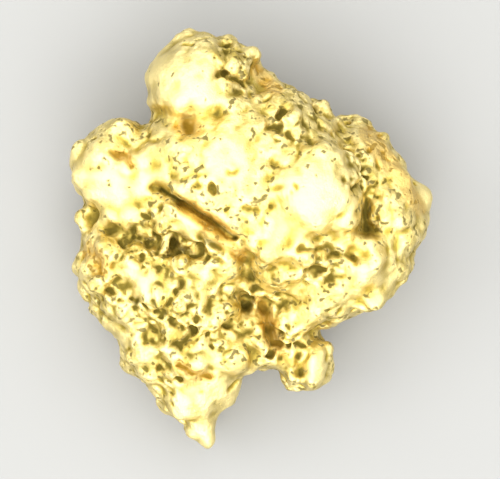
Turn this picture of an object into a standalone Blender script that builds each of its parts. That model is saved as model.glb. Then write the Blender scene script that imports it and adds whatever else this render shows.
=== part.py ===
"""Gold nugget: one solid piece of stream-worn native gold.

Metres, +Z up. The nugget lies on the worn flat of its underside, at Z = 0, with the
crown towards +Y and the toe towards -Y. The origin is the centre of its footprint.

The forms are written in millimetres, and the finished mesh is brought to metres at
the end. Big lumps make the body, small grains weld onto them, grooves and dents are
pressed in, and a flat worn face is cut for it to rest on.
"""

import math
import random

import bmesh
import bpy
from mathutils import Euler, Matrix, Vector, noise

# Driving dimensions, in millimetres
LENGTH = 8.3  # crown to toe, along Y
GRAIN_COUNT = 300  # small welded grains all over the body
GRAIN_RADII = (0.18, 0.42)
KNUCKLE_PITCH = 0.95  # spacing of the rounded knuckles that the skin is divided into
KNUCKLE_HEIGHT = 0.13
BEAD_PITCH = 0.46  # spacing of the small beads on the knuckles
BEAD_HEIGHT = 0.14
PIT_PITCH = 0.55
PIT_DEPTH = 0.2
FOOT_LIFT = 0.09  # how far above the lowest point the worn flat is cut
FOOT_ROUNDING = 0.35  # height over which the sides roll into the worn flat

# How finely each stage is meshed, in millimetres
BODY_VOXEL = 0.11
GRAIN_VOXEL = 0.08
SKIN_VOXEL = 0.07
MOST_TRIANGLES = 9400

SEED = 41  # of the scattered grains
BEND_SEED = 1795456956  # of noise_vector's bends, which come from the clock if not seeded
MILLIMETRE = 0.001
LUMP_SQUARENESS = 0.9  # 1 makes each lump a true ellipsoid, less gives it flatter sides
GOLD_COLOUR = (1.0, 0.75, 0.29, 1.0)

# Big lumps of the body: name, centre, radii, turn about X, Y and Z in degrees
LUMPS = (
    ("plateau", (0.05, 0.85, 1.5), (2.4, 2.0, 1.72), (0, 3, -25)),
    ("upper_mass", (0.3, 1.75, 1.4), (1.18, 1.15, 1.42), (0, 0, -40)),
    ("crown", (-0.98, 2.8, 1.75), (1.02, 1.02, 1.15), (0, 0, 20)),
    ("crown_shoulder", (-0.48, 3.05, 1.6), (0.68, 0.8, 0.95), (0, 0, 35)),
    ("left_shoulder", (-2.48, 1.16, 1.5), (0.9, 0.98, 1.05), (0, 0, 40)),
    ("boss", (1.25, 0.85, 2.72), (0.9, 0.8, 0.78), (0, 10, 20)),
    ("right_flank", (2.18, 0.75, 1.35), (1.0, 1.54, 1.1), (0, 12, 30)),
    ("lower_right", (1.76, -0.6, 1.3), (1.38, 0.98, 1.22), (0, 0, 24)),
    ("rough_apron", (-1.72, -0.72, 1.22), (1.7, 1.3, 1.36), (0, 0, -18)),
    ("apron_low", (-1.32, -1.95, 1.1), (1.45, 1.12, 1.05), (0, 0, -38)),
    ("toe", (-1.05, -2.85, 0.95), (0.95, 0.82, 0.75), (-8, 0, 15)),
    ("toe_tip", (-1.0, -3.6, 0.78), (0.34, 0.55, 0.42), (-10, 0, 18)),
    ("neck", (0.45, -1.85, 1.05), (0.75, 0.84, 0.85), (0, 0, 5)),
    ("knob", (1.12, -2.5, 1.15), (0.52, 0.54, 0.55), (0, 0, 40)),
    ("spur", (-3.2, 0.32, 1.3), (0.26, 0.18, 0.22), (0, 0, 20)),
)

# Beads welded on at their own places, among the scattered grains: name, centre, radii
BEADS = (
    ("toe_point", (-0.85, -4.01, 0.78), (0.22, 0.26, 0.3)),
)

# Grooves over the top: name, points of the line, half-width, depth
GROOVES = (
    ("long_crease", ((-1.8, 0.86), (-0.36, -0.08)), 0.13, 0.4),
    ("apron_valley", ((-0.1, -0.45), (0.15, -1.2), (0.45, -1.9), (0.65, -2.3)), 0.22, 0.32),
    ("flank_valley", ((1.75, 1.95), (2.1, 1.2), (2.22, 0.55), (2.3, 0.05)), 0.18, 0.32),
    ("boss_hem", ((1.25, -0.12), (1.75, -0.2), (2.2, -0.45)), 0.15, 0.2),
    ("ragged_band", ((-2.75, 0.02), (-2.1, -0.1), (-1.5, -0.22), (-1.1, -0.35)), 0.2, 0.3),
    ("crown_saddle", ((-1.95, 2.3), (-1.2, 2.15), (-0.6, 2.3)), 0.2, 0.2),
    ("knob_neck", ((0.95, -2.1), (0.9, -2.4), (0.98, -2.7)), 0.13, 0.2),
)

# Single hollows in the top: name, place, radius, depth
HOLLOWS = (
    ("crease_end", (-0.2, -0.15), 0.2, 0.28),
    ("saddle_pit", (-1.2, 2.22), 0.3, 0.2),
    ("crown_pit", (-0.5, 3.7), 0.16, 0.2),
    ("shoulder_dimple", (-2.5, 1.62), 0.3, 0.26),
    ("valley_pit", (-0.15, -1.25), 0.2, 0.28),
    ("apron_pit", (-2.35, -1.05), 0.24, 0.26),
)

# Burnished places, where wear has flattened the grain: name, centre, radius
BURNISHED = (
    ("crown_cheek", (-1.35, 3.05, 2.5), 0.95),
    ("boss_top", (1.3, 0.75, 3.3), 0.8),
    ("toe_facet", (-0.8, -2.95, 1.3), 0.75),
    ("toe_tip", (-0.75, -3.8, 0.8), 0.75),
    ("toe_edge", (-1.55, -3.3, 0.9), 0.5),
    ("shoulder_face", (-2.6, 0.95, 2.3), 0.6),
    ("knob_tip", (1.4, -2.6, 1.4), 0.35),
    ("plateau_middle", (-0.3, 1.3, 3.0), 1.25),
    ("boss_foot", (0.6, 0.3, 2.9), 0.85),
    ("ledge", (-1.15, 0.05, 2.6), 0.5),
    ("lower_hem", (1.6, -0.9, 2.1), 0.75),
)


def clear_scene():
    for obj in list(bpy.data.objects):
        bpy.data.objects.remove(obj, do_unlink=True)


def gold_material():
    gold = bpy.data.materials.new("native_gold")
    gold.use_nodes = True
    shader = gold.node_tree.nodes["Principled BSDF"]
    shader.inputs["Base Color"].default_value = GOLD_COLOUR
    shader.inputs["Metallic"].default_value = 1.0
    shader.inputs["Roughness"].default_value = 0.3
    gold.diffuse_color = GOLD_COLOUR
    return gold


def new_object(name, mesh, collection):
    obj = bpy.data.objects.new(name, mesh)
    collection.objects.link(obj)
    return obj


def apply_modifiers(obj):
    """Replaces the object's mesh by what its modifiers make of it."""
    graph = bpy.context.evaluated_depsgraph_get()
    made = bpy.data.meshes.new_from_object(obj.evaluated_get(graph))
    obj.modifiers.clear()
    obj.data = made


def add_ellipsoid(bm, centre, radii, turn, subdivisions, squareness=1.0):
    turned = Euler([math.radians(angle) for angle in turn]).to_matrix().to_4x4()
    place = Matrix.Translation(centre) @ turned @ Matrix.Diagonal((*radii, 1.0))
    ball = bmesh.ops.create_icosphere(bm, subdivisions=subdivisions, radius=1.0)
    for vertex in ball["verts"]:
        square = [math.copysign(abs(c) ** squareness, c) for c in vertex.co]
        vertex.co = place @ Vector(square)


def fuse(obj, voxel, smoothing):
    """Welds overlapping lumps into one skin and softens the joints between them."""
    remesh = obj.modifiers.new("fuse", "REMESH")
    remesh.mode = "VOXEL"
    remesh.voxel_size = voxel
    if smoothing:
        smooth = obj.modifiers.new("soften", "SMOOTH")
        smooth.factor = 0.5
        smooth.iterations = smoothing
    apply_modifiers(obj)


def cut_away(body, cutter):
    cutter.display_type = "WIRE"
    cutter.hide_render = True
    bpy.context.view_layer.update()
    cut = body.modifiers.new("cut", "BOOLEAN")
    cut.operation = "DIFFERENCE"
    cut.solver = "EXACT"
    cut.object = cutter
    apply_modifiers(body)
    bpy.data.objects.remove(cutter, do_unlink=True)


def keep_largest_shell(mesh):
    """Deletes loose crumbs and sealed bubbles that a fuse can leave."""
    bm = bmesh.new()
    bm.from_mesh(mesh)
    unseen = set(bm.verts)
    shells = []
    while unseen:
        first = unseen.pop()
        shell, edge_of_shell = {first}, [first]
        while edge_of_shell:
            vert = edge_of_shell.pop()
            for edge in vert.link_edges:
                other = edge.other_vert(vert)
                if other in unseen:
                    unseen.discard(other)
                    shell.add(other)
                    edge_of_shell.append(other)
        shells.append(shell)
    shells.sort(key=len)
    crumbs = [vert for shell in shells[:-1] for vert in shell]
    bmesh.ops.delete(bm, geom=crumbs, context="VERTS")
    bm.to_mesh(mesh)
    bm.free()


def wear_at(point):
    """How burnished a point is, from 0 in rough places to 1 on a rubbed high spot."""
    worn = 0.0
    for _name, centre, radius in BURNISHED:
        away = (point - Vector(centre)).length / radius
        worn = max(worn, 1.0 - away * away)
    return max(0.0, worn) ** 0.5


def make_body(collection):
    bm = bmesh.new()
    for _name, centre, radii, turn in LUMPS:
        add_ellipsoid(bm, centre, radii, turn, 4, LUMP_SQUARENESS)
    mesh = bpy.data.meshes.new("nugget")
    bm.to_mesh(mesh)
    bm.free()
    body = new_object("nugget", mesh, collection)
    fuse(body, BODY_VOXEL, smoothing=4)
    return body


def scattered_points(mesh, count, rng):
    """Points spread evenly over the skin, each with the normal there."""
    faces = list(mesh.polygons)
    areas = [face.area for face in faces]
    chosen = rng.choices(faces, weights=areas, k=count)
    return [(face.center.copy(), face.normal.copy()) for face in chosen]


def weld_grains(body, rng):
    """Small grains of gold, sunk to differing depths, over the whole body, and the beads."""
    bm = bmesh.new()
    bm.from_mesh(body.data)
    for centre, normal in scattered_points(body.data, GRAIN_COUNT, rng):
        radius = rng.uniform(*GRAIN_RADII)
        squash = rng.uniform(0.55, 0.95)
        wear = wear_at(centre)
        sunk = radius * (rng.uniform(0.1, 0.6) + 0.7 * wear)
        turn = [rng.uniform(0, 180) for _axis in range(3)]
        radii = (radius, radius * squash, radius * rng.uniform(0.7, 1.0))
        add_ellipsoid(bm, centre - normal * sunk, radii, turn, subdivisions=2)
    for _name, centre, radii in BEADS:
        add_ellipsoid(bm, centre, radii, (0, 0, 0), subdivisions=2)
    bm.to_mesh(body.data)
    bm.free()
    fuse(body, GRAIN_VOXEL, smoothing=1)


def distance_to_line(point, line):
    """Distance in plan from a point to a line of straight runs."""
    nearest = math.inf
    flat = Vector((point.x, point.y))
    for start, end in zip(line, line[1:]):
        start, end = Vector(start), Vector(end)
        run = end - start
        share = min(1.0, max(0.0, (flat - start).dot(run) / run.length_squared))
        nearest = min(nearest, (flat - start - run * share).length)
    return nearest


def pressed_depth(point, normal):
    """Depth of the named grooves and hollows at a point. They are in the top only."""
    if normal.z < 0.0:
        return 0.0
    wander = noise.noise_vector(point * 2.2) * 0.05
    moved = point + wander
    depth = 0.0
    for _name, line, half_width, deep in GROOVES:
        share = distance_to_line(moved, line) / half_width
        if share < 1.6:
            depth = max(depth, deep * math.exp(-1.6 * share * share))
    for _name, (x, y), radius, deep in HOLLOWS:
        share = math.hypot(moved.x - x, moved.y - y) / radius
        if share < 1.6:
            depth = max(depth, deep * math.exp(-1.6 * share * share))
    return depth * min(1.0, normal.z * 2.0)


def soft_limit(height, limit, blend=0.05):
    """The height, levelled off smoothly where it would pass the limit."""
    over = (height - limit) / blend
    return height - blend * math.log1p(math.exp(min(over, 40.0)))


def relief(point):
    """Height of the skin over the fused grains: knuckles, beads, pits and wear."""
    wear = wear_at(point)
    warped = point + noise.noise_vector(point * 1.1) * 0.3
    knuckle = 0.75 - noise.voronoi(warped / KNUCKLE_PITCH)[0][0]
    beaded = point + noise.noise_vector(point * 2.6) * 0.12
    bead = 0.6 - noise.voronoi(beaded / BEAD_PITCH)[0][0]
    height = KNUCKLE_HEIGHT * knuckle + BEAD_HEIGHT * bead
    height = soft_limit(height, 0.1 - 0.13 * wear)
    pitted = point + noise.noise_vector(point * 2.0 + Vector((4.0, 9.0, 2.0))) * 0.25
    pit = max(0.0, 1.0 - noise.voronoi(pitted / PIT_PITCH)[0][0] / 0.42)
    patchy = 0.5 + 0.7 * noise.noise(point * 0.8 + Vector((7.0, 3.0, 5.0)))
    height -= PIT_DEPTH * pit * max(0.0, patchy) * (1.0 - 0.8 * wear)
    return height


def press_relief(body):
    mesh = body.data
    moved = []
    for vertex in mesh.vertices:
        place, normal = vertex.co, vertex.normal
        pressed = Vector((0.0, 0.0, pressed_depth(place, normal)))
        moved.append(place + normal * relief(place) - pressed)
    for vertex, place in zip(mesh.vertices, moved):
        vertex.co = place
    mesh.update()


def roll_foot(body):
    """Rolls the underside into a nearly flat, rubbed face at Z = 0."""
    for vertex in body.data.vertices:
        z = vertex.co.z
        if z < -FOOT_ROUNDING:
            vertex.co.z = 0.0
        elif z < FOOT_ROUNDING:
            vertex.co.z = (z + FOOT_ROUNDING) ** 2 / (4.0 * FOOT_ROUNDING)
    body.data.update()


def limit_triangles(body):
    mesh = body.data
    mesh.calc_loop_triangles()
    reduce = body.modifiers.new("reduce", "DECIMATE")
    reduce.ratio = min(1.0, MOST_TRIANGLES / len(mesh.loop_triangles))
    reduce.use_collapse_triangulate = True
    apply_modifiers(body)


def cut_foot(body, cutters):
    """Cuts the worn flat that the nugget rests on."""
    bm = bmesh.new()
    bmesh.ops.create_cube(bm, size=4.0 * LENGTH)
    mesh = bpy.data.meshes.new("foot_cutter")
    bm.to_mesh(mesh)
    bm.free()
    cutter = new_object("foot_cutter", mesh, cutters)
    cutter.location.z = FOOT_LIFT - 2.0 * LENGTH
    cut_away(body, cutter)


def place_in_metres(body):
    """Fits the nugget to LENGTH and sets its footprint's centre at the origin."""
    mesh = body.data
    low = Vector([min(v.co[axis] for v in mesh.vertices) for axis in range(3)])
    high = Vector([max(v.co[axis] for v in mesh.vertices) for axis in range(3)])
    centre = Vector(((low.x + high.x) / 2, (low.y + high.y) / 2, low.z))
    scale = LENGTH / (high.y - low.y) * MILLIMETRE
    mesh.transform(Matrix.Scale(scale, 4) @ Matrix.Translation(-centre))
    mesh.shade_smooth()
    mesh.set_sharp_from_angle(angle=math.radians(45))


def make_nugget():
    clear_scene()
    parts = bpy.data.collections.new("gold_nugget")
    cutters = bpy.data.collections.new("cutters")
    for collection in (parts, cutters):
        bpy.context.scene.collection.children.link(collection)
    rng = random.Random(SEED)
    noise.seed_set(BEND_SEED)
    body = make_body(parts)
    weld_grains(body, rng)
    keep_largest_shell(body.data)
    press_relief(body)
    roll_foot(body)
    fuse(body, SKIN_VOXEL, smoothing=0)
    keep_largest_shell(body.data)
    limit_triangles(body)
    cut_foot(body, cutters)
    place_in_metres(body)
    body.data.materials.clear()
    body.data.materials.append(gold_material())
    return body


make_nugget()
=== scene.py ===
"""Gold nugget: the fine surface, the gold and the studio around it.

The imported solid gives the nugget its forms. Here its skin is meshed finely and worked
as a stream works it: welded grains, pits, creases, and high spots rubbed smooth. All
of that is done in millimetres, and the finished mesh is brought back to metres.
"""

import math
import random

import bmesh
import bpy
import numpy as np
from bpy.props import FloatProperty, FloatVectorProperty, IntProperty, PointerProperty
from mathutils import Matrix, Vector, kdtree, noise


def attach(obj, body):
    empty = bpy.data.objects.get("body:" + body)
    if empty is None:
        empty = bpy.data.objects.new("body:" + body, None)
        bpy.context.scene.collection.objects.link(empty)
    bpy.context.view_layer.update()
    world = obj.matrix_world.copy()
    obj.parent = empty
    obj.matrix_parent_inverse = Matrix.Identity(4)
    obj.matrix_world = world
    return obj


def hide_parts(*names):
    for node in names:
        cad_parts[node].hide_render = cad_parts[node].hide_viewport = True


bl_info = {
    "name": "Gold Nugget",
    "version": (1, 0, 0),
    "blender": (4, 5, 0),
    "location": "View3D > Sidebar > Nugget",
    "description": "Makes the fine surface of a gold nugget and a small studio for it",
    "category": "Object",
}

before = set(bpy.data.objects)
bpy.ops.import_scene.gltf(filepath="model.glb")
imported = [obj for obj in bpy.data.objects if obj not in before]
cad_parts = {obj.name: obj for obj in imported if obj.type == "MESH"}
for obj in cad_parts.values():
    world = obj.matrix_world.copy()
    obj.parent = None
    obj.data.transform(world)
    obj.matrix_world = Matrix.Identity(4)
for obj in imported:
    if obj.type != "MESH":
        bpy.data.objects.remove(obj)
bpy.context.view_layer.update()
MILLIMETRE = 0.001

# Rubbed places, smooth and bright: name, centre and radius in millimetres
RUBBED = (
    ("crown_cheek", (-1.25, 2.95, 2.7), 0.85),
    ("crown_rim", (-1.6, 3.3, 2.0), 0.85),
    ("boss_top", (1.3, 0.85, 3.4), 0.92),
    ("boss_hem", (0.75, 0.1, 3.0), 0.5),
    ("plateau_spot", (-0.5, 1.45, 3.1), 0.5),
    ("toe_facet", (-0.75, -3.15, 1.5), 0.9),
    ("toe_tip", (-0.85, -3.8, 0.9), 0.55),
    ("toe_right", (-0.35, -2.8, 1.3), 0.45),
    ("shoulder_face", (-2.6, 0.8, 2.3), 0.65),
    ("shoulder_back", (-2.02, 1.25, 2.65), 0.5),
    ("shoulder_rim", (-2.95, 1.3, 1.7), 0.75),
    ("apron_lump", (-0.88, -0.76, 2.45), 0.42),
    ("apron_patch", (-2.17, -0.82, 2.4), 0.4),
    ("apron_left", (-2.55, -1.85, 1.5), 0.35),
    ("apron_low", (-0.88, -2.3, 2.0), 0.35),
    ("ledge", (-1.2, 0.15, 2.7), 0.35),
    ("knob_tip", (1.35, -2.6, 1.6), 0.35),
    ("right_hip", (2.4, -0.75, 2.2), 0.6),
    ("right_point", (3.5, 0.9, 1.4), 0.6),
)

# Rough places, thick with pits: name, centre in plan and radius in millimetres
ROUGH = (
    ("apron", (-1.7, -1.1), 1.5),
    ("apron_low", (-1.2, -2.1), 0.9),
    ("ragged_band", (-2.1, -0.1), 0.9),
    ("valley", (0.1, -1.4), 0.9),
    ("neck", (0.7, -2.1), 0.5),
    ("crown_back", (-0.35, 3.4), 0.55),
    ("upper_edge", (0.9, 2.4), 0.7),
    ("flank", (2.1, 1.3), 0.5),
    ("lower_hem", (1.4, -0.6), 0.45),
)

# Creases: name, points in plan, half-width and depth in millimetres, raggedness
CREASES = (
    ("long_crease", ((-1.73, 0.99), (-1.0, 0.52), (-0.28, 0.04)), 0.045, 0.24, 0.35),
    ("crease_end", ((-0.95, 0.02), (-0.5, -0.2), (-0.15, -0.42)), 0.07, 0.16, 0.7),
    ("valley_head", ((-0.05, -0.45), (0.1, -0.9)), 0.08, 0.16, 1.0),
    ("valley", ((0.2, -1.2), (0.35, -1.75), (0.62, -2.3)), 0.08, 0.18, 1.2),
    ("apron_ridge_side", ((-1.32, -0.85), (-1.84, -1.6)), 0.055, 0.14, 0.9),
    ("flank_valley", ((1.6, 2.05), (2.02, 1.35), (2.22, 0.75), (2.26, 0.1)), 0.09, 0.13, 0.6),
    ("boss_hem", ((0.95, -0.2), (1.5, -0.15), (2.1, -0.4)), 0.06, 0.14, 0.8),
    ("toe_root", ((-1.4, -2.45), (-1.1, -2.64), (-0.78, -2.7)), 0.06, 0.14, 0.8),
    ("shoulder_crescent", ((-2.6, 1.68), (-2.42, 1.6), (-2.33, 1.42)), 0.1, 0.16, 1.1),
    ("knob_neck", ((1.0, -2.1), (0.96, -2.4), (1.02, -2.65)), 0.06, 0.12, 0.8),
    ("band", ((-2.65, 0.05), (-2.2, 0.0), (-1.8, -0.1)), 0.08, 0.1, 1.2),
    ("band_end", ((-1.47, -0.12), (-1.15, -0.33)), 0.08, 0.09, 0.8),
)

# Single deep pits and dents: name, place in plan, radius and depth in millimetres
DEEP_PITS = (
    ("saddle_pit", (-1.21, 2.2), 0.25, 0.22),
    ("crown_pit", (-0.48, 3.7), 0.14, 0.14),
    ("crown_side_pit", (-0.25, 2.87), 0.16, 0.16),
    ("valley_pit", (-0.08, -1.3), 0.14, 0.18),
    ("neck_pit", (0.6, -2.55), 0.14, 0.12),
    ("apron_pit", (-2.22, -1.2), 0.16, 0.2),
    ("flank_pit", (2.2, 0.35), 0.12, 0.04),
    ("boss_fold_upper", (0.46, 1.5), 0.12, 0.08),
    ("boss_fold_middle", (0.52, 1.02), 0.09, 0.07),
    ("boss_fold_lower", (0.4, 0.66), 0.11, 0.08),
    ("plateau_dimple", (-0.32, 1.33), 0.12, 0.08),
    ("plateau_nick", (-0.42, 0.56), 0.1, 0.08),
    ("shoulder_nick", (-1.02, 1.05), 0.11, 0.08),
)

# Close-packed knobs: pitch, height, depth of the crevices between them, share of the
# crevices that is open, and an offset that sets the two sizes apart
KNOBS = ((0.66, 0.18, 0.18, 0.5, 40.0), (0.33, 0.07, 0.07, 0.25, 50.0))
CREVICE_WIDTH = 0.2  # as a share of the knobs' pitch

# Where rust shows: name, points in plan and reach in millimetres
RUSTY = (
    ("long_crease", ((-1.3, 0.6), (-0.85, 0.3), (-0.2, -0.3)), 0.15),
    ("saddle", ((-1.35, 2.2), (-1.1, 2.2)), 0.2),
    ("valley", ((0.15, -1.2), (0.35, -1.65), (0.6, -2.25)), 0.18),
    ("toe_root", ((-1.4, -2.45), (-1.1, -2.65), (-0.75, -2.7)), 0.12),
    ("shoulder_crescent", ((-2.6, 1.72), (-2.3, 1.5)), 0.13),
    ("ragged_band", ((-3.2, -0.15), (-2.9, -0.5)), 0.2),
    ("upper_edge", ((0.15, 3.3), (0.5, 2.95)), 0.15),
    ("flank_edge", ((2.3, 2.1), (2.87, 1.32), (3.4, 0.6)), 0.2),
)

# How grains and pits vary: lengths in millimetres
SMALLEST_GRAIN = 0.1
GRAIN_SPREAD = 0.2  # added to the smallest radius, mostly little of it
GRAIN_HEIGHTS = (0.04, 0.1)
GRAIN_STRETCH = (1.0, 1.7)  # length over width
SMALLEST_PIT = 0.035
PIT_SPREAD = 0.08
PIT_DEPTHS = (0.8, 1.4)  # over the pit's radius
PIT_STRETCH = (1.0, 3.0)
PIT_RAGGEDNESS = 1.7  # of the named pits' edges
GRAIN_SINK = 0.03  # how far the scattered grains sit down in the skin
GRAIN_SHARE = 0.8  # of their height that is left standing over the knobs
GRAIN_WEAR = 0.92  # share of grains and knobs that is gone where the gold is rubbed
SWELL_WEAR = 0.7
STAMP_REACH = 1.6  # how far round a grain or pit vertices are moved, over its radius
STAMP_MARGIN = 0.05
FOOT_FADE = 0.25  # height above the worn flat at which grains and pits are whole

# Sways of smooth noise: height and size in millimetres, and an offset that parts them
EDGE_SWAYS = ((0.06, 0.24, 0.0), (0.035, 0.1, 2.0))
MARK_SWAYS = ((0.05, 0.22, 0.0), (0.03, 0.12, 2.0))
SWELLS = ((0.035, 0.5, 0.0), (0.02, 0.22, 5.0))

# The sides: rough from SIDE_TOP down, wholly so SIDE_FALL lower, and no rust below RUST_LOW
SIDE_TOP = 2.0
SIDE_FALL = 1.5
SIDE_ROUGHNESS = 0.55
RUST_LOW = 0.9

# Rounds of smoothing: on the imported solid's facets, and on the worked skin
FACET_SMOOTHING = 8
SKIN_SMOOTHING = 1

# Rounds of averaging that give the skin round about each vertex, from close by and wider
NEAR_ROUNDS = 6
FAR_ROUNDS = 40
NORMAL_ROUNDS = 8

# Where the gold changes: the value at which each change starts, and at which it is whole
# Painted shade: deep gold in the crevices close by
CREVICE_SHADE = (-0.012, 0.015)  # millimetres under the skin close by
# Silt and painted shade: silt colour in the crevices close by
CREVICE_SILT_AND_SHADE = (0.009, 0.03)
# Painted shade: deep gold in the wider hollows of the rough places
SHADED = (-0.005, 0.045)  # millimetres under the wider skin
# Silt and painted shade: silt colour in the deep places
DEEP_SILT_AND_SHADE = (0.04, 0.11)
# Silt and painted shade: silt colour in the named creases and pits
MARK_SILT_AND_SHADE = (0.03, 0.2)  # millimetres deep in a named crease or pit
RUSTED = (0.7, 1.1)  # rust and noise together
SPECKED = (0.565, 0.7)  # noise alone
MOTTLED = (0.45, 0.6)

# Fineness of the noise in the gold, in waves to the metre
PATCH_NOISE = 1500.0
MOTTLE_NOISE = 2600.0
PITTING_NOISE = 7000.0
SPECK_NOISE = 7500.0
POLISH_NOISE = 9000.0
BUMP_HEIGHT = 0.00005  # metres

# Softboxes: name, place and size in metres, and the setting that gives the brightness
SOFTBOXES = (
    ("overhead_softbox", (-0.02, 0.0, 0.11), 0.34, "overhead"),
    ("key_softbox", (0.005, -0.09, 0.055), 0.11, "key"),
    ("side_softbox", (-0.085, 0.01, 0.05), 0.08, "side"),
    ("flank_softbox", (0.085, 0.0, 0.04), 0.08, "fill"),
    ("back_softbox", (0.01, 0.09, 0.045), 0.1, "fill"),
)
LIT_POINT = (0.0, 0.0, 0.0015)  # where the softboxes are aimed
FLOOR_HALF_WIDTH = 0.6
FLOOR_GAP = 0.00001  # between the floor and the nugget's worn flat
CAMERA_HEIGHT_DATUM = 0.002  # the camera's distance is counted from this height


class NuggetSettings(bpy.types.PropertyGroup):
    """What a user would change on the nugget itself."""

    voxel: FloatProperty(
        name="Skin fineness",
        description="Edge length of the fine skin's mesh, in millimetres",
        default=0.033, min=0.03, max=0.2,
    )
    most_triangles: IntProperty(
        name="Most triangles", description="The finished skin is thinned to this many",
        default=196000, min=1000,
    )
    grain_count: IntProperty(
        name="Grains", description="Small welded grains on the skin", default=700, min=0
    )
    pit_count: IntProperty(
        name="Pits", description="Places tried for a pit on the skin", default=1800, min=0
    )
    seed: IntProperty(
        name="Seed", description="Seed of the scatter of grains and pits", default=7
    )
    gold: FloatVectorProperty(
        name="Gold", description="Colour of the clean metal",
        subtype="COLOR", size=4, min=0.0, max=1.0, default=(0.97, 0.80, 0.34, 1.0),
    )
    # Deep gold is painted shade in the crevices and hollows, and also the darker random patches
    # of unrubbed gold
    deep_gold_and_shade: FloatVectorProperty(
        name="Deep gold", description="Colour of the metal down in the creases",
        subtype="COLOR", size=4, min=0.0, max=1.0, default=(0.42, 0.30, 0.025, 1.0),
    )
    # Silt: real silt in the specks, and silt with painted shade in the crevices, deep places
    # and named marks
    silt_shade_colour: FloatVectorProperty(
        name="Silt", description="Colour of the dark silt left deep in the pits",
        subtype="COLOR", size=4, min=0.0, max=1.0, default=(0.06, 0.046, 0.004, 1.0),
    )
    # Rusty silt: the same silt and painted shade, where iron has stained it
    rusty_silt_shade_colour: FloatVectorProperty(
        name="Rusty silt", description="Colour of the silt where iron has stained it",
        subtype="COLOR", size=4, min=0.0, max=1.0, default=(0.2, 0.115, 0.008, 1.0),
    )
    rust: FloatVectorProperty(
        name="Rust", description="Colour of the gold where iron has stained it",
        subtype="COLOR", size=4, min=0.0, max=1.0, default=(0.56, 0.31, 0.02, 1.0),
    )


class StageSettings(bpy.types.PropertyGroup):
    """What a user would change in the studio."""

    floor: FloatVectorProperty(
        name="Floor", description="Colour of the studio floor",
        subtype="COLOR", size=4, min=0.0, max=1.0, default=(0.32, 0.32, 0.31, 1.0),
    )
    lens: FloatProperty(
        name="Lens", description="Camera lens, in millimetres", default=300.0, min=20.0
    )
    distance: FloatProperty(
        name="Camera distance", description="Height of the camera over the nugget",
        default=0.0815, min=0.01, unit="LENGTH", subtype="DISTANCE",
    )
    overhead: FloatProperty(
        name="Overhead light", description="Brightness of the softbox above", default=1.95
    )
    key: FloatProperty(
        name="Key light", description="Brightness of the softbox at the toe's side",
        default=3.9,
    )
    side: FloatProperty(
        name="Side light", description="Brightness of the softbox at the shoulder's side",
        default=2.6,
    )
    fill: FloatProperty(
        name="Fill lights", description="Brightness of the softboxes at the flank and back",
        default=1.9,
    )
    room: FloatProperty(
        name="Room light", description="Brightness of the room all round", default=0.1
    )


# ---------------------------------------------------------------- the fine surface


def get_vectors(mesh, what):
    """One row for each vertex: its place, "co", or its "normal"."""
    vectors = np.empty(len(mesh.vertices) * 3, np.float32)
    mesh.vertices.foreach_get(what, vectors)
    return vectors.reshape(-1, 3).astype(float)


def set_places(mesh, places):
    mesh.vertices.foreach_set("co", places.astype(np.float32).ravel())
    mesh.update()


def copy_in_millimetres(node):
    """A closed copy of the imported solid, one unit to the millimetre."""
    bm = bmesh.new()
    bm.from_mesh(node.data)
    bmesh.ops.scale(bm, vec=(1.0 / MILLIMETRE,) * 3, verts=bm.verts)
    bmesh.ops.remove_doubles(bm, verts=bm.verts, dist=0.0001)
    mesh = bpy.data.meshes.new("nugget_skin")
    bm.to_mesh(mesh)
    bm.free()
    return mesh


def apply_modifiers(obj):
    graph = bpy.context.evaluated_depsgraph_get()
    made = bpy.data.meshes.new_from_object(obj.evaluated_get(graph))
    obj.modifiers.clear()
    obj.data = made


def remesh(obj, voxel, smoothing):
    """A new even skin over the object, softened a little."""
    cover = obj.modifiers.new("cover", "REMESH")
    cover.mode = "VOXEL"
    cover.voxel_size = voxel
    if smoothing:
        soften = obj.modifiers.new("soften", "SMOOTH")
        soften.factor = 0.5
        soften.iterations = smoothing
    apply_modifiers(obj)


def thin_out(obj, most_triangles):
    """Takes triangles out of the flattest places first, down to the number given."""
    obj.data.calc_loop_triangles()
    thin = obj.modifiers.new("thin", "DECIMATE")
    thin.ratio = min(1.0, most_triangles / len(obj.data.loop_triangles))
    thin.use_collapse_triangulate = True
    apply_modifiers(obj)


def neighbour_mean(mesh, values, rounds):
    """The values, each time replaced by the mean of the vertex's neighbours."""
    edges = np.empty(len(mesh.edges) * 2, np.int32)
    mesh.edges.foreach_get("vertices", edges)
    a, b = edges.reshape(-1, 2).T
    count = np.bincount(a, minlength=len(values)) + np.bincount(b, minlength=len(values))
    values = values.reshape(len(values), -1)
    for _round in range(rounds):
        total = np.stack(
            [
                np.bincount(a, column[b], len(values)) + np.bincount(b, column[a], len(values))
                for column in values.T
            ],
            axis=1,
        )
        values = total / count[:, None]
    return values


def rubbed_at(places):
    """How rubbed each place is, from 0 to 1."""
    rubbed = np.zeros(len(places))
    for _name, centre, radius in RUBBED:
        away = np.linalg.norm(places - centre, axis=1) / radius
        rubbed = np.maximum(rubbed, 1.0 - away**2)
    return np.clip(rubbed, 0.0, 1.0) ** 0.5


def rough_at(places):
    """How thick with pits each place is, from 0 to 1."""
    rough = np.zeros(len(places))
    for _name, centre, radius in ROUGH:
        away = np.hypot(places[:, 0] - centre[0], places[:, 1] - centre[1]) / radius
        rough = np.maximum(rough, 1.0 - away**2)
    sides = np.clip((SIDE_TOP - places[:, 2]) / SIDE_FALL, 0.0, 1.0) * SIDE_ROUGHNESS
    return np.maximum(np.clip(rough, 0.0, 1.0) ** 0.5, sides)


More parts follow.
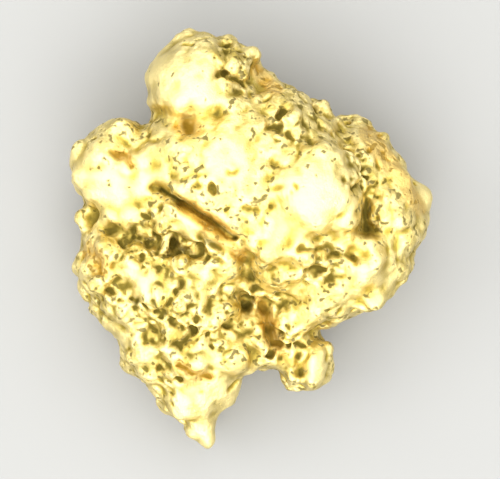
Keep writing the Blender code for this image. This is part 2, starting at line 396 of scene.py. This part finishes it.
def rusty_at(places, normals):
    """How much rust the creases have caught on top of each place, from 0 to 1."""
    rusty = np.zeros(len(places))
    for _name, line, reach in RUSTY:
        share = distance_to_line(places, line) / reach
        rusty = np.maximum(rusty, np.exp(-(share**2)))
    facing_up = np.clip(0.4 + normals[:, 2], 0.0, 1.0)
    return rusty * (np.clip(places[:, 2] - RUST_LOW, 0.0, 1.0) * facing_up)


def field(places, size, offset=0.0):
    """Smooth noise from about -1 to 1, with blobs of the given size in millimetres."""
    shift = Vector((offset, 2.0 * offset, 3.0 * offset))
    return np.array([noise.noise(Vector(p) / size + shift) for p in places])


def distance_to_line(places, line):
    """Distance in plan from each place to a line of straight runs."""
    nearest = np.full(len(places), np.inf)
    flat = places[:, :2]
    for start, end in zip(line, line[1:]):
        start, run = np.array(start), np.array(end) - np.array(start)
        share = np.clip((flat - start) @ run / (run @ run), 0.0, 1.0)
        gap = np.linalg.norm(flat - start - share[:, None] * run, axis=1)
        nearest = np.minimum(nearest, gap)
    return nearest


def sway(places, sways, offset=0.0):
    """The sum of several smooth noises, given by their height, size and offset."""
    return sum(tall * field(places, size, offset + apart) for tall, size, apart in sways)


def warp(places, offset):
    """The places strayed a little, so that what is drawn on them has ragged edges."""
    stray = [sway(places, EDGE_SWAYS, offset + 5.0 * axis) for axis in range(3)]
    return places + np.stack(stray, axis=1)


def cells(places, size, offset):
    """Distances, in cells, from each place to the two nearest cell centres."""
    shift = Vector((offset, 2.0 * offset, 3.0 * offset))
    gaps = [noise.voronoi(Vector(place) / size + shift)[0][:2] for place in places]
    return np.array(gaps).T


def crumble(places, warped):
    """Heights of the close-packed knobs, and of the crevices that part them."""
    height = np.zeros(len(places))
    for pitch, tall, deep, open_share, offset in KNOBS:
        nearest, second = cells(warped, pitch, offset)
        patchy = open_share + 1.8 * field(places, pitch * 1.4, offset + 5.0)
        crevice = np.exp(-(((second - nearest) / CREVICE_WIDTH) ** 2))
        height += tall * (0.35 - nearest**2)
        height -= deep * crevice * np.clip(patchy, 0.0, 1.0)
    return height


def scatter(mesh, count, rng):
    """Places and normals of evenly scattered spots on the skin."""
    areas = np.empty(len(mesh.polygons), np.float32)
    mesh.polygons.foreach_get("area", areas)
    steps = np.cumsum(areas.astype(float))
    spots = []
    for _spot in range(count):
        index = int(np.searchsorted(steps, rng.random() * steps[-1]))
        face = mesh.polygons[min(index, len(steps) - 1)]
        spots.append((face.center.copy(), face.normal.copy()))
    return spots


def stamp(tree, warped, height, centre, normal, radius, stretch, turn, profile):
    """Applies one grain or pit to the heights of the vertices round its centre."""
    side = normal.orthogonal().normalized()
    along = np.array(side * math.cos(turn) + normal.cross(side) * math.sin(turn))
    reach = radius * STAMP_REACH + STAMP_MARGIN
    index = np.array([item[1] for item in tree.find_range(centre, reach)])
    if not len(index):
        return
    gap = warped[index] - warped[tree.find(centre)[1]]
    run = gap @ along
    across = gap - run[:, None] * along
    share = np.sqrt((run / stretch) ** 2 + (across**2).sum(1)) / radius
    index, share = index[share < 1.0], share[share < 1.0]
    height[index] = profile(height[index], share)


def above_foot(places):
    """0 on the worn flat, rising to 1 where grains and pits are whole."""
    return np.clip(places[:, 2] / FOOT_FADE, 0.0, 1.0)


def search_tree(places):
    tree = kdtree.KDTree(len(places))
    for index, place in enumerate(places):
        tree.insert(place, index)
    tree.balance()
    return tree


def weld_grains(obj, settings, rng):
    """Crumbles the skin, and raises small domed grains, the tallest winning."""
    mesh = obj.data
    places, normals = get_vectors(mesh, "co"), get_vectors(mesh, "normal")
    rubbed, rough = rubbed_at(places), rough_at(places)
    warped = warp(places, 3.0)
    tree = search_tree(places)
    height = np.zeros(len(places))
    for centre, normal in scatter(mesh, settings.grain_count, rng):
        radius = SMALLEST_GRAIN + GRAIN_SPREAD * rng.random() ** 1.5
        tall = rng.uniform(*GRAIN_HEIGHTS)

        def dome(was, share, tall=tall):
            return np.maximum(was, tall * np.sqrt(1.0 - share**3))

        stamp(
            tree, warped, height, centre, normal, radius,
            rng.uniform(*GRAIN_STRETCH), rng.uniform(0.0, math.pi), dome,
        )
    height = (height - GRAIN_SINK) * GRAIN_SHARE + crumble(places, warped)
    height = height * (0.3 + 0.7 * rough) * (1.0 - GRAIN_WEAR * rubbed)
    height += sway(places, SWELLS) * (1.0 - SWELL_WEAR * rubbed)
    height *= above_foot(places)
    set_places(mesh, places + normals * height[:, None])


def marked_at(places, normals):
    """Depth of the named creases and deep pits at each place, seen from above."""
    flat = places * (1.0, 1.0, 0.0)
    ragged = np.stack([sway(flat, MARK_SWAYS, offset) for offset in (20.0, 25.0)], axis=1)
    moved = flat[:, :2] + PIT_RAGGEDNESS * ragged
    gaps = np.clip(0.35 + 1.3 * field(flat, 0.3, 35.0), 0.0, 0.9)
    uneven = np.clip(1.1 * field(flat, 0.28, 37.0), -0.6, 0.6)
    depth = np.zeros(len(places))
    for _name, line, half_width, deep, raggedness in CREASES:
        width = half_width * (1.0 + min(raggedness, 1.0) * uneven)
        share = distance_to_line(flat[:, :2] + ragged * raggedness, line) / width
        kept = 1.0 - min(raggedness, 1.0) * gaps
        depth = np.maximum(depth, deep * kept * np.exp(-(share**2)))
    for _name, (x, y), radius, deep in DEEP_PITS:
        share = np.hypot(moved[:, 0] - x, moved[:, 1] - y) / radius
        depth = np.maximum(depth, deep * np.exp(-(share**2) * 1.5))
    return depth * np.clip((normals[:, 2] - 0.1) * 2.5, 0.0, 1.0)


def sink_pits(obj, settings, rng):
    """Sinks ragged pits, thick in the rough places and rare in the rubbed."""
    mesh = obj.data
    places, normals = get_vectors(mesh, "co"), get_vectors(mesh, "normal")
    warped = warp(places, 9.0)
    tree = search_tree(places)
    depth = np.zeros(len(places))
    spots = scatter(mesh, settings.pit_count, rng)
    centres = np.array([centre for centre, _normal in spots])
    chance = 0.25 + 0.75 * rough_at(centres)
    chance *= 1.0 - 0.9 * rubbed_at(centres)
    patchy = np.clip(0.5 + 1.2 * field(centres, 0.7, 12.0), 0.0, 1.0)
    for (centre, normal), share in zip(spots, chance * patchy):
        draw, size, turn = rng.random(), rng.random(), rng.uniform(0.0, math.pi)
        if draw > share:
            continue
        radius = SMALLEST_PIT + PIT_SPREAD * size**2.5
        deep = radius * rng.uniform(*PIT_DEPTHS)

        def bowl(was, share, deep=deep):
            return np.maximum(was, deep * (1.0 - share**2))

        stretch = rng.uniform(*PIT_STRETCH)
        stamp(tree, warped, depth, centre, normal, radius, stretch, turn, bowl)
    depth *= above_foot(places)
    places = places - normals * depth[:, None]
    places[:, 2] -= marked_at(places, neighbour_mean(mesh, normals, NORMAL_ROUNDS))
    set_places(mesh, places)


def measure_skin(mesh):
    """Stores what the gold's colour goes by: how sunk each vertex is, which sets the painted
    shade and the silt, and how rubbed and rusty it is.
    """
    places, normals = get_vectors(mesh, "co"), get_vectors(mesh, "normal")
    near = neighbour_mean(mesh, places, NEAR_ROUNDS)
    far = neighbour_mean(mesh, near, FAR_ROUNDS)
    values = {
        "sunk_near": ((near - places) * normals).sum(1),
        "sunk_far": ((far - places) * normals).sum(1),
        "rubbed": rubbed_at(places),
        "rough": rough_at(places),
        "rusty": rusty_at(places, normals),
        "marked": marked_at(places, neighbour_mean(mesh, normals, NORMAL_ROUNDS)),
    }
    for name, value in values.items():
        mesh.attributes.new(name, "FLOAT", "POINT").data.foreach_set(
            "value", value.astype(np.float32)
        )


def level_foot(mesh):
    """Brings what the smoothing left under the worn flat back up to it."""
    places = get_vectors(mesh, "co")
    places[:, 2] = np.maximum(places[:, 2], 0.0)
    set_places(mesh, places)


def make_fine_nugget(settings):
    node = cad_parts["nugget"]
    nugget = bpy.data.objects.new("nugget_skin", copy_in_millimetres(node))
    bpy.context.scene.collection.objects.link(nugget)
    rng = random.Random(settings.seed)
    remesh(nugget, settings.voxel, FACET_SMOOTHING)
    weld_grains(nugget, settings, rng)
    sink_pits(nugget, settings, rng)
    remesh(nugget, settings.voxel, SKIN_SMOOTHING)
    thin_out(nugget, settings.most_triangles)
    mesh = nugget.data
    level_foot(mesh)
    measure_skin(mesh)
    set_places(mesh, get_vectors(mesh, "co") * MILLIMETRE)
    mesh.shade_smooth()
    return nugget


# ---------------------------------------------------------------------- materials


class Nodes:
    """A material's node tree, with short ways to add and link nodes."""

    def __init__(self, name):
        self.material = bpy.data.materials.new(name)
        self.material.use_nodes = True
        self.tree = self.material.node_tree
        self.shader = self.tree.nodes["Principled BSDF"]

    def add(self, kind, **settings):
        node = self.tree.nodes.new(kind)
        for name, value in settings.items():
            setattr(node, name, value)
        return node

    def link(self, out, into):
        self.tree.links.new(out, into)

    def attribute(self, name):
        return self.add("ShaderNodeAttribute", attribute_name=name).outputs["Fac"]

    def ramp(self, value, low, high):
        """0 below low, 1 above high and smooth between."""
        node = self.add("ShaderNodeMapRange", interpolation_type="SMOOTHSTEP")
        node.inputs["From Min"].default_value = low
        node.inputs["From Max"].default_value = high
        self.link(value, node.inputs["Value"])
        return node.outputs["Result"]

    def maths(self, operation, first, second):
        node = self.add("ShaderNodeMath", operation=operation)
        for socket, value in zip(node.inputs, (first, second)):
            if isinstance(value, (int, float)):
                socket.default_value = value
            else:
                self.link(value, socket)
        return node.outputs["Value"]

    def noise(self, scale, detail=4.0, roughness=0.55):
        place = self.add("ShaderNodeTexCoord").outputs["Object"]
        node = self.add("ShaderNodeTexNoise")
        node.inputs["Scale"].default_value = scale
        node.inputs["Detail"].default_value = detail
        node.inputs["Roughness"].default_value = roughness
        self.link(place, node.inputs["Vector"])
        return node.outputs["Fac"]

    def mix_colour(self, factor, first, second):
        node = self.add("ShaderNodeMix", data_type="RGBA")
        self.link(factor, node.inputs["Factor"])
        ports = [s for s in node.inputs if s.type == "RGBA"]
        for socket, value in zip(ports, (first, second)):
            if isinstance(value, bpy.types.NodeSocket):
                self.link(value, socket)
            else:
                socket.default_value = value
        return [s for s in node.outputs if s.type == "RGBA"][0]


def add_specks(n, patches):
    """Specks of silt in the pores, fewer where the gold is rubbed."""
    specks = n.noise(SPECK_NOISE, 1.0, 0.5)
    specks = n.maths("SUBTRACT", specks, n.maths("MULTIPLY", n.attribute("rubbed"), 0.13))
    specks = n.maths("ADD", specks, n.maths("MULTIPLY", patches, 0.25))
    return n.ramp(specks, *SPECKED)


def add_tarnish_and_shade(n, uneven, deep, rust):
    """Where the gold is deeper in colour: painted shade in the hollows and valleys, darker
    random patches where it is unrubbed, and rust.
    """
    rough_place = n.attribute("rough")
    unrubbed = n.maths("ADD", 0.5, n.maths("MULTIPLY", rough_place, 0.4))
    unrubbed = n.maths("SUBTRACT", unrubbed, n.attribute("rubbed"))
    mottle = n.ramp(n.noise(MOTTLE_NOISE, 4.0, 0.6), *MOTTLED)
    # Painted shade: darker in the crevices close by and in the wider hollows of the rough
    # places
    valley_shade = n.maths("MULTIPLY", n.ramp(deep, *SHADED), rough_place)
    tarnish_and_shade = n.maths("MAXIMUM", n.ramp(uneven, *CREVICE_SHADE), n.maths("MULTIPLY", mottle, unrubbed))
    tarnish_and_shade = n.maths("MAXIMUM", tarnish_and_shade, n.maths("MULTIPLY", rust, 0.6))
    tarnish_and_shade = n.maths("MAXIMUM", tarnish_and_shade, valley_shade)
    return n.maths("MULTIPLY", tarnish_and_shade, 0.88)


def add_silt_and_shade(n, uneven, deep, patches, specks):
    """Where the gold goes to silt colour: silt and painted shade in crevices, deep places and
    the named marks, and silt alone in the specks.
    """
    crevice_depth = n.maths("ADD", uneven, n.maths("MULTIPLY", n.attribute("rough"), 0.012))
    crevice_silt_and_shade = n.maths("MULTIPLY", n.ramp(crevice_depth, *CREVICE_SILT_AND_SHADE), 0.85)
    deep_silt_and_shade = n.maths("MULTIPLY", n.ramp(deep, *DEEP_SILT_AND_SHADE), 0.85)
    marked = n.maths("ADD", n.attribute("marked"), n.maths("MULTIPLY", patches, 0.12))
    silt_and_shade = n.maths("MAXIMUM", crevice_silt_and_shade, deep_silt_and_shade)
    silt_and_shade = n.maths("MAXIMUM", silt_and_shade, n.maths("MULTIPLY", specks, 0.8))
    return n.maths("MAXIMUM", silt_and_shade, n.ramp(marked, *MARK_SILT_AND_SHADE))


def add_fine_relief(n, specks):
    """Relief too fine for the mesh: a frosted grain, with the specks sunk in it."""
    grain = n.noise(PITTING_NOISE, 6.0, 0.72)
    height = n.maths("SUBTRACT", grain, n.maths("MULTIPLY", specks, 0.4))
    bump = n.add("ShaderNodeBump")
    bump.inputs["Strength"].default_value = 0.8
    bump.inputs["Distance"].default_value = BUMP_HEIGHT
    n.link(height, bump.inputs["Height"])
    n.link(bump.outputs["Normal"], n.shader.inputs["Normal"])


def gold_material(settings):
    """Native gold, clean where it is rubbed, darkened by painted shade in the hollows, and by
    silt and painted shade deeper in.
    """
    n = Nodes("native_gold")
    patches = n.maths("SUBTRACT", n.noise(PATCH_NOISE), 0.5)
    uneven = n.maths("ADD", n.attribute("sunk_near"), n.maths("MULTIPLY", patches, 0.015))
    deep = n.maths("ADD", n.attribute("sunk_far"), n.maths("MULTIPLY", patches, 0.06))
    rust = n.ramp(n.maths("ADD", n.attribute("rusty"), n.noise(PATCH_NOISE)), *RUSTED)
    specks = add_specks(n, patches)

    # Deep gold for the painted shade and the random darker patches, rust where iron stains the
    # gold
    tarnish_and_shade = n.mix_colour(rust, tuple(settings.deep_gold_and_shade), tuple(settings.rust))
    colour = n.mix_colour(add_tarnish_and_shade(n, uneven, deep, rust), tuple(settings.gold), tarnish_and_shade)
    # Silt colour over the silt and painted shade in crevices, deep places and named marks, and
    # over the specks
    silt_and_shade = add_silt_and_shade(n, uneven, deep, patches, specks)
    silt_and_shade_tint = n.mix_colour(rust, tuple(settings.silt_shade_colour), tuple(settings.rusty_silt_shade_colour))
    n.link(n.mix_colour(silt_and_shade, colour, silt_and_shade_tint), n.shader.inputs["Base Color"])
    n.link(n.maths("SUBTRACT", 1.0, silt_and_shade), n.shader.inputs["Metallic"])
    n.shader.inputs["Specular IOR Level"].default_value = 0.08

    roughness = n.maths("ADD", 0.27, n.maths("MULTIPLY", silt_and_shade, 0.5))
    scuffs = n.maths("MULTIPLY", n.noise(POLISH_NOISE), 0.1)
    n.link(n.maths("ADD", roughness, scuffs), n.shader.inputs["Roughness"])
    add_fine_relief(n, specks)
    return n.material


def floor_material(settings):
    n = Nodes("studio_floor")
    n.shader.inputs["Base Color"].default_value = tuple(settings.floor)
    n.shader.inputs["Roughness"].default_value = 0.85
    n.shader.inputs["Specular IOR Level"].default_value = 0.0
    return n.material


# -------------------------------------------------------------------------- stage


def add_softbox(name, place, size, brightness):
    """A square softbox aimed at the nugget. Brightness is what a mirror would show of it."""
    light = bpy.data.lights.new(name, "AREA")
    light.shape = "SQUARE"
    light.size = size
    light.energy = brightness * math.pi * size * size
    obj = bpy.data.objects.new(name, light)
    obj.location = place
    aim = Vector(LIT_POINT) - Vector(place)
    obj.rotation_euler = aim.to_track_quat("-Z", "Y").to_euler()
    bpy.context.scene.collection.objects.link(obj)


def make_floor(settings):
    bm = bmesh.new()
    bmesh.ops.create_grid(bm, x_segments=1, y_segments=1, size=FLOOR_HALF_WIDTH)
    mesh = bpy.data.meshes.new("studio_floor")
    bm.to_mesh(mesh)
    bm.free()
    floor = bpy.data.objects.new("studio_floor", mesh)
    floor.location.z = -FLOOR_GAP
    bpy.context.scene.collection.objects.link(floor)
    mesh.materials.append(floor_material(settings))


def make_camera(settings):
    camera = bpy.data.cameras.new("camera")
    camera.lens = settings.lens
    camera.clip_start = 0.001
    obj = bpy.data.objects.new("camera", camera)
    obj.location = (0.0, 0.0, settings.distance + CAMERA_HEIGHT_DATUM)
    bpy.context.scene.collection.objects.link(obj)
    bpy.context.scene.camera = obj


def make_room(settings):
    world = bpy.data.worlds.new("studio_room")
    world.use_nodes = True
    background = world.node_tree.nodes["Background"]
    background.inputs["Color"].default_value = (1.0, 1.0, 1.0, 1.0)
    background.inputs["Strength"].default_value = settings.room
    bpy.context.scene.world = world


# ------------------------------------------------------------------ the operators


class NUGGET_OT_skin(bpy.types.Operator):
    """Make the nugget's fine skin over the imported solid, and its gold"""

    bl_idname = "nugget.make_skin"
    bl_label = "Make Nugget"

    def execute(self, context):
        settings = context.scene.nugget
        nugget = make_fine_nugget(settings)
        nugget.data.materials.clear()
        nugget.data.materials.append(gold_material(settings))
        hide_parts("nugget")
        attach(nugget, "root")
        return {"FINISHED"}


class NUGGET_OT_stage(bpy.types.Operator):
    """Make the floor, the lights, the room and the camera"""

    bl_idname = "nugget.make_stage"
    bl_label = "Make Studio"

    def execute(self, context):
        settings = context.scene.nugget_stage
        make_floor(settings)
        make_room(settings)
        make_camera(settings)
        for name, place, size, setting in SOFTBOXES:
            add_softbox(name, place, size, getattr(settings, setting))
        context.scene.view_settings.view_transform = "Standard"
        return {"FINISHED"}


class NUGGET_PT_panel(bpy.types.Panel):
    """Lists the steps that make the nugget and its studio"""

    bl_label = "Gold Nugget"
    bl_idname = "NUGGET_PT_panel"
    bl_space_type = "VIEW_3D"
    bl_region_type = "UI"
    bl_category = "Nugget"

    def draw(self, context):
        for group in (context.scene.nugget, context.scene.nugget_stage):
            box = self.layout.box()
            for name in group.bl_rna.properties.keys():
                if name not in {"rna_type", "name"}:
                    box.prop(group, name)
        for operator in (NUGGET_OT_skin, NUGGET_OT_stage):
            self.layout.operator(operator.bl_idname)


CLASSES = (NuggetSettings, StageSettings, NUGGET_OT_skin, NUGGET_OT_stage, NUGGET_PT_panel)


def register():
    for cls in CLASSES:
        bpy.utils.register_class(cls)
    bpy.types.Scene.nugget = PointerProperty(type=NuggetSettings)
    bpy.types.Scene.nugget_stage = PointerProperty(type=StageSettings)


def unregister():
    del bpy.types.Scene.nugget_stage
    del bpy.types.Scene.nugget
    for cls in reversed(CLASSES):
        bpy.utils.unregister_class(cls)


def main():
    register()
    bpy.ops.nugget.make_skin()
    bpy.ops.nugget.make_stage()
    bpy.context.view_layer.update()


if __name__ == "__main__":
    main()
